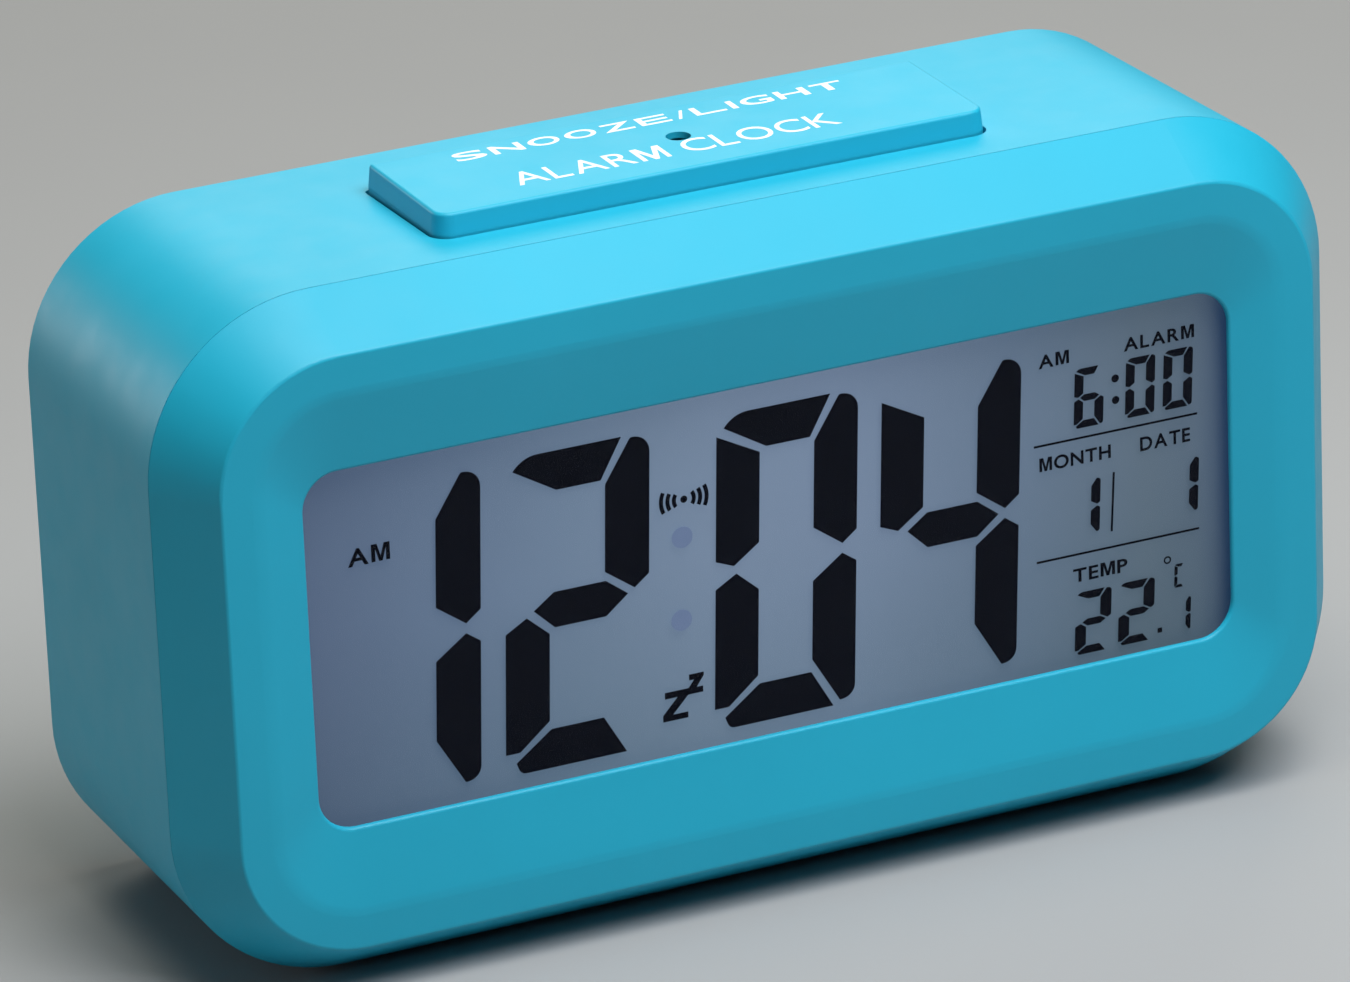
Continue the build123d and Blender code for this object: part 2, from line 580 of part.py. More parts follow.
def snooze_bar():
    """The pressed bar: a cap with a catch flange under the case, two push posts and a light shroud."""
    flange_low = CASE_CEILING - 1.7
    bar = bar_slab(0.0, flange_low, CASE_TOP) + bar_slab(0.0, CASE_TOP, BAR_TOP, BAR_DRAFT)
    top_edges = bar.edges().filter_by_position(Axis.Z, BAR_TOP, BAR_TOP)
    bar = fillet(top_edges, BAR_EDGE_RADIUS)
    bar = bar + bar_slab(BAR_FLANGE, flange_low, CASE_CEILING - 0.1)
    bar = bar - bar_slab(-BAR_WALL, flange_low, BAR_HOLLOW_TOP)
    for x in (-SNOOZE_SWITCH_X, SNOOZE_SWITCH_X):
        bar = bar + rod_z(BOSS_RADIUS, x, BAR_MID_Y, SNOOZE_PLUNGER_TOP, BAR_HOLLOW_TOP)
        rib_low = CASE_CEILING + 0.3
        bar = bar + block((x - 0.5, x + 0.5), (BAR_MID_Y - 8.0, BAR_MID_Y + 8.0), (rib_low, BAR_HOLLOW_TOP))
    bar = bar + rod_z(SHROUD_RADIUS + 1.0, 0.0, SENSOR_Y, SHROUD_LOW, BAR_HOLLOW_TOP)
    bar = bar - rod_z(SHROUD_RADIUS, 0.0, SENSOR_Y, SHROUD_LOW, BAR_TOP - SENSOR_SKIN)
    return bar - rod_z(SENSOR_HOLE_RADIUS, 0.0, SENSOR_Y, BAR_HOLLOW_TOP, BAR_TOP)


def snooze_board():
    board = block((-40.0, 40.0), (BAR_MID_Y - 7.1, BAR_MID_Y + 7.1), (SNOOZE_BOARD_LOW, SNOOZE_BOARD_TOP))
    for x in (-SNOOZE_BOARD_SCREW_X, SNOOZE_BOARD_SCREW_X):
        board = board - rod_z(BOARD_SCREW_RADIUS + 0.1, x, BAR_MID_Y, SNOOZE_BOARD_LOW, SNOOZE_BOARD_TOP)
    return board


def snooze_board_screws():
    """Screws whose heads are under the board."""
    low = SNOOZE_BOARD_LOW
    screws = []
    for x in (-SNOOZE_BOARD_SCREW_X, SNOOZE_BOARD_SCREW_X):
        head = rod_z(BOARD_SCREW_HEAD_RADIUS, x, BAR_MID_Y, low - BOARD_SCREW_HEAD_HEIGHT, low)
        screws.append(head + rod_z(BOARD_SCREW_RADIUS, x, BAR_MID_Y, low, SNOOZE_BOARD_TOP + 5.0))
    return group(screws)


def snooze_switch(side):
    x = side * SNOOZE_SWITCH_X
    half = SWITCH_SIDE / 2
    body = block((x - half, x + half), (BAR_MID_Y - half, BAR_MID_Y + half),
                 (SNOOZE_BOARD_TOP, SNOOZE_SWITCH_TOP))
    return body - rod_z(PLUNGER_RADIUS + 0.1, x, BAR_MID_Y, SNOOZE_SWITCH_TOP - 1.2, SNOOZE_SWITCH_TOP)


def snooze_plunger(side):
    x = side * SNOOZE_SWITCH_X
    low = SNOOZE_SWITCH_TOP - 1.2 + BAR_TRAVEL + 0.1
    return rod_z(PLUNGER_RADIUS, x, BAR_MID_Y, low, SNOOZE_PLUNGER_TOP)


def light_sensor():
    """The light-sensitive cell under the hole in the snooze bar, on its two legs."""
    low = CASE_CEILING - 1.8
    sensor = rod_z(2.55, 0.0, SENSOR_Y, low, low + 2.1)
    for dy in (-1.25, 1.25):
        sensor = sensor + rod_z(0.25, 0.0, SENSOR_Y + dy, SNOOZE_BOARD_TOP, low)
    return sensor


# ---------------------------------------------------------------- rear keys and slide switches


def key_board():
    board = block((-49.0, 49.0), (KEY_BOARD_Y, KEY_BOARD_BACK_Y), (50.0, 64.5))
    for x in KEY_BOARD_SCREW_X:
        board = board - rod_y(BOARD_SCREW_RADIUS + 0.1, x, KEY_ROW_Z, KEY_BOARD_Y, KEY_BOARD_BACK_Y)
    return board


def key_board_screws():
    """Screws whose heads are on the board's front side; they run back into the case's bosses."""
    screws = []
    head_y = KEY_BOARD_Y - BOARD_SCREW_HEAD_HEIGHT
    for x in KEY_BOARD_SCREW_X:
        head = rod_y(BOARD_SCREW_HEAD_RADIUS, x, KEY_ROW_Z, head_y, KEY_BOARD_Y)
        screws.append(head + rod_y(BOARD_SCREW_RADIUS, x, KEY_ROW_Z, KEY_BOARD_Y, KEY_BOARD_BACK_Y + 4.5))
    return group(screws)


def key_cap(place):
    """A round key: its flange is behind the panel and its stem stands out of the hole."""
    x = place * KEY_PITCH
    stem = rod_y(KEY_RADIUS, x, KEY_ROW_Z, KEY_FLANGE_Y, KEY_FACE_Y)
    face_edge = stem.edges().filter_by_position(Axis.Y, KEY_FACE_Y, KEY_FACE_Y)
    stem = fillet(face_edge, 0.5)
    return stem + rod_y(KEY_RADIUS + 1.0, x, KEY_ROW_Z, KEY_FOOT_Y, KEY_FLANGE_Y)


def key_switch(place):
    x = place * KEY_PITCH
    body = slab((SWITCH_SIDE, SWITCH_SIDE, 0.4), KEY_BOARD_BACK_Y, KEY_SWITCH_TOP_Y, x=x, z=KEY_ROW_Z)
    return body - rod_y(PLUNGER_RADIUS + 0.1, x, KEY_ROW_Z, KEY_SWITCH_TOP_Y - 1.1, KEY_SWITCH_TOP_Y)


def key_plunger(place):
    low = KEY_SWITCH_TOP_Y - 1.1 + KEY_TRAVEL + 0.2
    return rod_y(PLUNGER_RADIUS, place * KEY_PITCH, KEY_ROW_Z, low, KEY_FOOT_Y)


def slide_housing(x):
    """The metal case of a slide switch, with the window that its knob runs in."""
    body = slab((9.2, 4.4, 0.4), KEY_BOARD_BACK_Y, SLIDE_TOP_Y, x=x, z=KEY_ROW_Z)
    body = body - slab((7.8, 3.4, 0.2), SLIDE_COVER_Y - 1.5, SLIDE_COVER_Y, x=x, z=KEY_ROW_Z)
    return body - slab((5.0, 2.4, 0.2), SLIDE_COVER_Y, SLIDE_TOP_Y, x=x, z=KEY_ROW_Z)


def slider(x):
    """A slide switch's moving knob, at the low-X end of its travel."""
    start = x - SLIDER_TRAVEL / 2
    shoe = slab((5.4, 3.2, 0.2), SLIDE_COVER_Y - 1.4, SLIDE_COVER_Y - 0.1, x=start, z=KEY_ROW_Z)
    knob = slab((2.4, 2.0, 0.3), SLIDE_COVER_Y - 0.1, KEY_FACE_Y, x=start, z=KEY_ROW_Z)
    return shoe + knob


# ---------------------------------------------------------------- buzzer and thermistor


def buzzer_plate():
    return rod_y(BUZZER_PLATE_RADIUS, BUZZER_X, BUZZER_Z, BUZZER_PLATE_Y - 0.3, BUZZER_PLATE_Y)


def buzzer_ceramic():
    return rod_y(7.0, BUZZER_X, BUZZER_Z, BUZZER_PLATE_Y - 0.5, BUZZER_PLATE_Y - 0.3)


def thermistor():
    """The temperature sensor's bead, hung on two legs below the key board, behind the vents."""
    y = KEY_BOARD_BACK_Y + THERMISTOR_LEG_RADIUS
    bead_top = 47.6
    bead = rod_z(1.2, VENT_X, y, bead_top - 2.4, bead_top)
    bead = fillet(bead.edges().filter_by(GeomType.CIRCLE), 0.6)
    for dx in (-0.5, 0.5):
        bead = bead + rod_z(THERMISTOR_LEG_RADIUS, VENT_X + dx, y, bead_top - 0.3, bead_top + 4.0)
    return bead


# ---------------------------------------------------------------- cells, contacts and door


def turn_of(row):
    """+1 where a cell's tip points to +X, -1 where it points to -X: they alternate."""
    return -1 if row == 0 else 1


def battery(row):
    turn = turn_of(row)
    z = BAY_MID_Z + row * CELL_PITCH
    shoulder = turn * (CELL_TIP_X - 0.8)
    base = turn * CELL_BASE_X
    tip = turn * CELL_TIP_X
    can = rod_x(CELL_RADIUS, CELL_Y, z, min(shoulder, base), max(shoulder, base))
    can = fillet(can.edges().filter_by(GeomType.CIRCLE), 0.4)
    return can + rod_x(1.9, CELL_Y, z, min(shoulder, tip), max(shoulder, tip))


def contact_plate(side, rows, tab_row=None):
    """A sheet contact on the bay's end wall: a dimple for each cell's tip, and perhaps a solder tab."""
    x_range = sorted((side * CONTACT_FACE_X, side * BAY_HALF_WIDTH))
    z_low = BAY_MID_Z + min(rows) * CELL_PITCH - 4.5
    z_high = BAY_MID_Z + max(rows) * CELL_PITCH + 4.5
    plate = block(x_range, (BAY_FLOOR_Y + 0.2, BAY_FLOOR_Y + 9.7), (z_low, z_high))
    for row in rows:
        z = BAY_MID_Z + row * CELL_PITCH
        if turn_of(row) == side:
            dimple = sorted((side * CONTACT_FACE_X, side * CELL_TIP_X))
            plate = plate + rod_x(1.6, CELL_Y, z, *dimple)
    if tab_row is not None:
        z = BAY_MID_Z + tab_row * CELL_PITCH
        plate = plate + block(x_range, (TAB_END_Y, BAY_FLOOR_Y + 0.2), (z - 1.5, z + 1.5))
    return plate


def battery_springs():
    """A coil spring at each cell's flat end, between the contact plate and the cell."""
    height = CONTACT_FACE_X + CELL_BASE_X - SPRING_WIRE - 0.1
    coils = []
    for row in CELL_ROWS.values():
        side = -turn_of(row)
        start = side * (CONTACT_FACE_X - SPRING_WIRE / 2 - 0.05)
        z = BAY_MID_Z + row * CELL_PITCH
        pitch = height / SPRING_TURNS
        path = Helix(pitch, height, SPRING_RADIUS, center=(start, CELL_Y, z), direction=(-side, 0, 0))
        section = Plane(origin=path @ 0, z_dir=path % 0) * Circle(SPRING_WIRE / 2)
        coils.append(sweep(section, path=path, is_frenet=True))
    return group(coils)


def battery_door():
    """The door: a plate with two hinge tongues below, ribs inside and a sprung latch finger on top."""
    door = slab((DOOR_WIDTH, DOOR_HEIGHT, 1.0), DOOR_Y, BACK_Y, z=BAY_MID_Z)
    for x in (-14.0, 14.0):
        door = door + block((x - 0.6, x + 0.6), (DOOR_Y - 0.6, DOOR_Y), (DOOR_BOTTOM + 5.0, DOOR_TOP - 3.0))
    for z in (-1.5, 0.0, 1.5):
        grip_z = DOOR_TOP - 7.0 + z
        door = door - block((-9.0, 9.0), (BACK_Y - 0.4, BACK_Y), (grip_z - 0.3, grip_z + 0.3))

    tongue_y = BACK_WALL_Y - 0.4
    tongue_front = tongue_y - 1.2
    for x in (-TONGUE_X, TONGUE_X):
        across = (x - TONGUE_WIDTH / 2, x + TONGUE_WIDTH / 2)
        door = door + block(across, (tongue_front, DOOR_Y), (DOOR_BOTTOM, DOOR_BOTTOM + 1.2))
        door = door + block(across, (tongue_front, tongue_y), (DOOR_BOTTOM - 2.7, DOOR_BOTTOM + 1.2))
    return door + latch_finger()


def latch_finger():
    """A U-shaped springy strip on the door's top edge, with a thumb pad and a small nose."""
    across = (-LATCH_HALF_WIDTH, LATCH_HALF_WIDTH)
    inner_leg = (DOOR_TOP - 1.6, DOOR_TOP - 0.8)
    outer_leg = (DOOR_TOP + 0.4, DOOR_TOP + 1.2)
    finger = block(across, (LATCH_BEND_Y, DOOR_Y), inner_leg)
    finger = finger + block(across, (LATCH_BEND_Y, BACK_Y - 0.1), outer_leg)
    turn_mid = (inner_leg[0] + outer_leg[1]) / 2
    turn_outer = (outer_leg[1] - inner_leg[0]) / 2
    turn_inner = (outer_leg[0] - inner_leg[1]) / 2
    bend = rod_x(turn_outer, LATCH_BEND_Y, turn_mid, *across)
    bend = bend - rod_x(turn_inner, LATCH_BEND_Y, turn_mid, *across)
    bend = bend & block(across, (LATCH_BEND_Y - turn_outer, LATCH_BEND_Y), (DOOR_TOP - 3.0, DOOR_TOP + 3.0))
    pad = block(across, (BACK_Y - 1.3, BACK_Y - 0.1), (DOOR_TOP + 0.4, DOOR_TOP + 2.3))
    nose = block(across, (BACK_WALL_Y - 1.3, BACK_WALL_Y - 0.3), (DOOR_TOP + 1.2, DOOR_TOP + 2.2))
    return finger + bend + pad + nose


# ---------------------------------------------------------------- wires inside


def battery_lead_red():
    """From the positive solder tab to the main board."""
    x = CONTACT_FACE_X + CONTACT_THICKNESS / 2
    z = BAY_MID_Z + CELL_PITCH
    points = [(x, TAB_END_Y, z), (x, 1.9, z), (x + 2.2, -2.0, z + 1.8),
              (x + 4.0, -6.4, z + 1.2), (x + 4.0, BOARD_BACK_Y, z + 1.2)]
    return lead("battery_lead_red", points, LEAD_DIAMETER)


def battery_lead_black():
    """From the negative solder tab to the main board."""
    x = -CONTACT_FACE_X - CONTACT_THICKNESS / 2
    z = BAY_MID_Z - CELL_PITCH
    points = [(x, TAB_END_Y, z), (x, 1.9, z), (x - 1.2, -2.2, z + 2.6),
              (x - 1.0, -6.2, z + 4.6), (x - 1.0, BOARD_BACK_Y, z + 4.6)]
    return lead("battery_lead_black", points, LEAD_DIAMETER)


def buzzer_leads():
    """Two thin wires from the buzzer's plate and ceramic to the main board."""
    z = BUZZER_Z
    wires = []
    for x, y in ((BUZZER_X - 8.4, BUZZER_PLATE_Y - 0.3), (BUZZER_X - 4.0, BUZZER_PLATE_Y - 0.5)):
        points = [(x, y, z), (x, 12.8, z), (x - 1.2, 6.6, z + 2.4), (x - 2.4, 0.6, z + 4.4),
                  (x - 1.8, -5.2, z + 5.0), (x - 1.8, BOARD_BACK_Y, z + 5.0)]
        wires.append(lead("buzzer_lead", points, BUZZER_LEAD_DIAMETER))
    return group(wires)


def key_ribbon():
    """The flat cable between the key board and the main board, with a little slack."""
    x = -18.0
    points = [(x, KEY_BOARD_Y, 53.6), (x, 7.8, 53.6), (x, 2.8, 51.4), (x, -2.2, 50.8),
              (x, -5.8, 52.2), (x, BOARD_BACK_Y, 52.2)]
    return ribbon("key_ribbon", points, KEY_RIBBON_WIDTH, RIBBON_THICKNESS)


def snooze_ribbon():
    """The flat cable from the snooze board's underside down to the main board."""
    x = 10.0
    z = SNOOZE_BOARD_LOW
    points = [(x, -1.0, z), (x, -1.0, z - 4.0), (x, -3.2, z - 7.8), (x, -6.4, z - 9.2),
              (x, BOARD_BACK_Y, z - 9.2)]
    return ribbon("snooze_ribbon", points, SNOOZE_RIBBON_WIDTH, RIBBON_THICKNESS)


# ---------------------------------------------------------------- every sub-part, by name


def sub_parts():
    """Every sub-part's name and shape."""
    shapes = {
        "front_bezel": front_bezel(),
        "rear_case": rear_case(),
        "rubber_feet": rubber_feet(),
        "case_screws": case_screws(),
        "display_lens": display_lens(),
        "lcd_panel": lcd_panel(),
        "light_guide": light_guide(),
        "lcd_frame": lcd_frame(),
        "zebra_strip_upper": zebra_strip(1),
        "zebra_strip_lower": zebra_strip(-1),
        "backlight_board": backlight_board(),
        "backlight_leds": backlight_leds(),
        "main_board": main_board(),
        "board_screws": board_screws(),
        "clock_chip": clock_chip(),
        "crystal": crystal(),
        "capacitors": capacitors(),
        "snooze_bar": snooze_bar(),
        "snooze_board": snooze_board(),
        "snooze_board_screws": snooze_board_screws(),
        "light_sensor": light_sensor(),
        "key_board": key_board(),
        "key_board_screws": key_board_screws(),
        "alarm_switch_housing": slide_housing(SLIDER_X),
        "alarm_slider": slider(SLIDER_X),
        "sensor_switch_housing": slide_housing(-SLIDER_X),
        "sensor_slider": slider(-SLIDER_X),
        "buzzer_plate": buzzer_plate(),
        "buzzer_ceramic": buzzer_ceramic(),
        "thermistor": thermistor(),
        "contact_plate_left_lower": contact_plate(-1, [-1], tab_row=-1),
        "contact_plate_left_upper": contact_plate(-1, [0, 1]),
        "contact_plate_right_lower": contact_plate(1, [-1, 0]),
        "contact_plate_right_upper": contact_plate(1, [1], tab_row=1),
        "battery_springs": battery_springs(),
        "battery_door": battery_door(),
        "battery_lead_red": battery_lead_red(),
        "battery_lead_black": battery_lead_black(),
        "buzzer_leads": buzzer_leads(),
        "key_ribbon": key_ribbon(),
        "snooze_ribbon": snooze_ribbon(),
    }
    for name, side in (("left", -1), ("right", 1)):
        shapes["snooze_switch_" + name] = snooze_switch(side)
        shapes["snooze_plunger_" + name] = snooze_plunger(side)
    for name, place in KEYS.items():
        shapes[name + "_key"] = key_cap(place)
        shapes[name + "_switch"] = key_switch(place)
        shapes[name + "_plunger"] = key_plunger(place)
    for name, row in CELL_ROWS.items():
        shapes["battery_" + name] = battery(row)
    return shapes


os.makedirs("parts", exist_ok=True)
for node, shape in sub_parts().items():
    export_step(shape, "parts/" + node + ".step")
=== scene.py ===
"""Looks of the digital alarm clock: materials, display figures, printing, studio and camera.

Metres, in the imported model's own frame: +Z up, -Y the way the display faces, +X to the right.
Sizes on the clock are named in millimetres and multiplied by MM where they enter the scene.
"""

import json
import math

import bmesh
import bpy
from mathutils import Matrix, Vector


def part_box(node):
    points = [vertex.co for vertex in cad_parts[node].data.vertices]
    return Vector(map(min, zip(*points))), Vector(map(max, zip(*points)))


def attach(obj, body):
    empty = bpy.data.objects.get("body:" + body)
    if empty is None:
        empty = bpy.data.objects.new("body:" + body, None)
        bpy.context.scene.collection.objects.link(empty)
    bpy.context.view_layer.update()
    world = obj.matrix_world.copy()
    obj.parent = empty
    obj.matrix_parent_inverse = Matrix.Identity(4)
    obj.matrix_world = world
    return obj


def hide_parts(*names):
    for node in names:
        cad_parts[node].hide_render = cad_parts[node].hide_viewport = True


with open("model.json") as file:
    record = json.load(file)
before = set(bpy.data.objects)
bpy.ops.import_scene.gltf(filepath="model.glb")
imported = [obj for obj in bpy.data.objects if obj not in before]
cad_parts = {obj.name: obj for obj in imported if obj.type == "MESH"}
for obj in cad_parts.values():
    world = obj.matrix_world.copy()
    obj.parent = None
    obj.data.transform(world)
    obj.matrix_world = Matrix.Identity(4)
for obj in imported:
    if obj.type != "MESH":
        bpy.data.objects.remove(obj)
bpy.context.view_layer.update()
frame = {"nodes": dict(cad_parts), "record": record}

MM = 0.001
NODES = frame["nodes"]


def box_mm(node):
    """A CAD node's lowest and highest corners, in millimetres."""
    low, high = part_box(node)
    return low / MM, high / MM


# ---------------------------------------------------------------- places taken from the frame

BEZEL_LOW, BEZEL_HIGH = box_mm("front_bezel")
MID_Z = (BEZEL_LOW.z + BEZEL_HIGH.z) / 2
BACK_Y = box_mm("rear_case")[1].y
BAR_TOP = box_mm("snooze_bar")[1].z
LCD_LOW, LCD_HIGH = box_mm("lcd_panel")

# ---------------------------------------------------------------- camera

CAMERA_PLACE = (-0.3745, -0.8305, 0.4067)
CAMERA_AZIMUTH = math.radians(-24.138)
CAMERA_ELEVATION = math.radians(21.99)
CAMERA_ROLL = math.radians(-2.329)
CAMERA_LENS = 246.5
SENSOR_WIDTH = 36.0


def make_camera():
    """The reference view: from the left, above and in front, with a long lens."""
    data = bpy.data.cameras.new("camera")
    data.lens = CAMERA_LENS
    data.sensor_width = SENSOR_WIDTH
    data.clip_start = 0.05
    data.clip_end = 50.0
    camera = bpy.data.objects.new("camera", data)
    bpy.context.scene.collection.objects.link(camera)
    back = Vector((math.sin(CAMERA_AZIMUTH) * math.cos(CAMERA_ELEVATION),
                   -math.cos(CAMERA_AZIMUTH) * math.cos(CAMERA_ELEVATION),
                   math.sin(CAMERA_ELEVATION)))
    level_right = Vector((0, 0, 1)).cross(back).normalized()
    level_up = back.cross(level_right)
    right = level_right * math.cos(CAMERA_ROLL) + level_up * math.sin(CAMERA_ROLL)
    up = level_up * math.cos(CAMERA_ROLL) - level_right * math.sin(CAMERA_ROLL)
    turn = Matrix((right, up, back)).transposed()
    camera.matrix_world = Matrix.Translation(CAMERA_PLACE) @ turn.to_4x4()
    bpy.context.scene.camera = camera


# ---------------------------------------------------------------- node helpers


NOISE_LOW = 0.3  # a noise node's value seldom leaves this range
NOISE_HIGH = 0.7


class Shader:
    """A material under construction: one Principled shader, with small helpers for its inputs."""

    def __init__(self, name, color, roughness, metallic=0.0):
        self.material = bpy.data.materials.new(name)
        self.material.use_nodes = True
        self.tree = self.material.node_tree
        self.main = self.tree.nodes["Principled BSDF"]
        self.main.inputs["Base Color"].default_value = (*color, 1.0)
        self.main.inputs["Roughness"].default_value = roughness
        self.main.inputs["Metallic"].default_value = metallic
        self.place = None

    def set(self, socket, value):
        self.main.inputs[socket].default_value = value

    def node(self, kind, **values):
        """A new node. Names of its inputs have spaces written as underscores."""
        made = self.tree.nodes.new(kind)
        for name, value in values.items():
            made.inputs[name.replace("_", " ")].default_value = value
        return made

    def link(self, source, target):
        self.tree.links.new(source, target)

    def coordinates(self):
        if self.place is None:
            self.place = self.node("ShaderNodeTexCoord").outputs["Object"]
        return self.place

    def noise(self, size_mm, detail, stretch=None):
        """Noise whose features are about size_mm across."""
        noise = self.node("ShaderNodeTexNoise", Scale=1.0 / (size_mm * MM), Detail=detail)
        place = self.coordinates()
        if stretch:
            mapping = self.node("ShaderNodeMapping", Scale=stretch)
            self.link(place, mapping.inputs["Vector"])
            place = mapping.outputs["Vector"]
        self.link(place, noise.inputs["Vector"])
        return noise.outputs["Fac"]

    def ramp(self, value, stops, hard=False):
        """Turns a value into a colour: stops are (place, colour) pairs, blended unless hard."""
        ramp = self.node("ShaderNodeValToRGB")
        elements = ramp.color_ramp.elements
        if hard:
            ramp.color_ramp.interpolation = "CONSTANT"
        while len(elements) < len(stops):
            elements.new(0.5)
        for element, (place, color) in zip(elements, stops):
            element.position = place
            element.color = (*color, 1.0)
        self.link(value, ramp.inputs["Fac"])
        return ramp.outputs["Color"]

    def spread(self, value, low, high, from_low=NOISE_LOW, from_high=NOISE_HIGH):
        """Maps a value from one range to another."""
        made = self.node("ShaderNodeMapRange", From_Min=from_low, From_Max=from_high,
                         To_Min=low, To_Max=high)
        self.link(value, made.inputs["Value"])
        return made.outputs["Result"]

    def vary_color(self, value, dark, light):
        color = self.ramp(value, [(NOISE_LOW, dark), (NOISE_HIGH, light)])
        self.link(color, self.main.inputs["Base Color"])

    def vary_roughness(self, value, low, high):
        self.link(self.spread(value, low, high), self.main.inputs["Roughness"])

    def bump(self, value, height_mm, strength):
        bump = self.node("ShaderNodeBump", Strength=strength, Distance=height_mm * MM)
        self.link(value, bump.inputs["Height"])
        self.link(bump.outputs["Normal"], self.main.inputs["Normal"])


def shade(color, factor):
    return tuple(min(1.0, channel * factor) for channel in color)


# ---------------------------------------------------------------- materials

CYAN = (0.014, 0.41, 0.595)


def satin_plastic():
    """The case's moulded plastic: satin, with a fine mould grain and faint flow marks."""
    made = Shader("case_satin_plastic", CYAN, 0.45)
    made.vary_color(made.noise(38.0, 3.0), shade(CYAN, 0.965), shade(CYAN, 1.035))
    made.vary_roughness(made.noise(5.0, 4.0), 0.43, 0.50)
    made.bump(made.noise(0.32, 2.0), 0.006, 0.5)
    made.set("Specular IOR Level", 0.35)
    return made.material


def plain_plastic(name, color, roughness, grain_mm=0.4):
    made = Shader(name, color, roughness)
    made.vary_color(made.noise(6.0, 3.0), shade(color, 0.92), shade(color, 1.08))
    made.vary_roughness(made.noise(2.0, 3.0), roughness - 0.05, roughness + 0.06)
    made.bump(made.noise(grain_mm, 2.0), 0.006, 0.6)
    return made.material


def rubber(name, color):
    made = Shader(name, color, 0.75)
    made.vary_color(made.noise(1.5, 4.0), shade(color, 0.8), shade(color, 1.3))
    made.vary_roughness(made.noise(0.8, 3.0), 0.66, 0.84)
    made.bump(made.noise(0.25, 3.0), 0.02, 0.7)
    return made.material


def metal(name, color, roughness):
    """Bare metal, a little uneven in colour and gloss."""
    made = Shader(name, color, roughness, metallic=1.0)
    made.vary_color(made.noise(3.0, 3.0), shade(color, 0.9), shade(color, 1.05))
    made.vary_roughness(made.noise(0.5, 3.0), roughness - 0.08, roughness + 0.12)
    made.bump(made.noise(0.2, 2.0), 0.003, 0.5)
    return made.material


def circuit_board():
    """Green solder mask with the faint weave of the laminate below it."""
    green = (0.012, 0.105, 0.045)
    made = Shader("circuit_board_laminate", green, 0.35)
    made.vary_color(made.noise(1.2, 2.0, stretch=(1.0, 1.0, 6.0)), shade(green, 0.8), shade(green, 1.3))
    made.vary_roughness(made.noise(0.6, 3.0), 0.3, 0.42)
    made.bump(made.noise(0.5, 2.0, stretch=(6.0, 1.0, 1.0)), 0.01, 0.5)
    return made.material


LENS_ALPHA = 0.07


def clear_acrylic():
    """The window: nearly see-through, so that it shows mostly by its gloss."""
    made = Shader("clear_acrylic", (0.010, 0.012, 0.020), 0.06)
    made.set("Alpha", LENS_ALPHA)
    made.vary_roughness(made.noise(9.0, 3.0), 0.05, 0.09)
    return made.material


def frosted_acrylic():
    tint = (0.62, 0.68, 0.82)
    made = Shader("frosted_acrylic", tint, 0.5)
    made.vary_color(made.noise(2.0, 3.0), shade(tint, 0.95), shade(tint, 1.05))
    made.bump(made.noise(0.2, 2.0), 0.01, 0.8)
    return made.material


SLEEVE_START = 0.4  # bare metal before the sleeve at a cell's flat end
SLEEVE_END = 1.4  # and after it at the cell's tip
COPPER_START = 0.70  # where the black ends and the copper starts, as a part of the cell's length
STEEL = (0.55, 0.54, 0.52)
SLEEVE_BLACK = (0.014, 0.014, 0.016)
SLEEVE_COPPER = (0.36, 0.15, 0.05)


def cell_sleeve(node, tip_side):
    """A cell's sleeve: copper-coloured near its tip, black over the rest, and bare metal at both ends."""
    low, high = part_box(node)
    length = high.x - low.x
    made = Shader("sleeve_" + node, (0.02, 0.02, 0.022), 0.3)
    place = made.node("ShaderNodeSeparateXYZ")
    made.link(made.coordinates(), place.inputs["Vector"])
    base, tip = (low.x, high.x) if tip_side > 0 else (high.x, low.x)
    along = made.spread(place.outputs["X"], 0.0, 1.0, base, tip)
    zones = [(0.0, STEEL),
             (SLEEVE_START * MM / length, SLEEVE_BLACK),
             (COPPER_START, SLEEVE_COPPER),
             (1.0 - SLEEVE_END * MM / length, STEEL)]
    made.link(made.ramp(along, zones, hard=True), made.main.inputs["Base Color"])
    bare = [(start, (1.0, 1.0, 1.0) if color == STEEL else (0.0, 0.0, 0.0)) for start, color in zones]
    made.link(made.ramp(along, bare, hard=True), made.main.inputs["Metallic"])
    made.vary_roughness(made.noise(1.0, 3.0), 0.24, 0.36)
    made.bump(made.noise(1.4, 2.0), 0.006, 0.4)
    return made.material


LAYER_SIZE = 0.35


def zebra_rubber():
    """Thin conductive and clear layers side by side along the strip."""
    made = Shader("zebra_rubber", (0.45, 0.2, 0.2), 0.6)
    wave = made.node("ShaderNodeTexWave", Scale=1.0 / (LAYER_SIZE * MM) / (2 * math.pi))
    made.link(made.coordinates(), wave.inputs["Vector"])
    layers = made.ramp(wave.outputs["Fac"], [(0.4, (0.02, 0.02, 0.02)), (0.6, (0.55, 0.25, 0.24))])
    made.link(layers, made.main.inputs["Base Color"])
    made.bump(wave.outputs["Fac"], 0.01, 0.5)
    return made.material


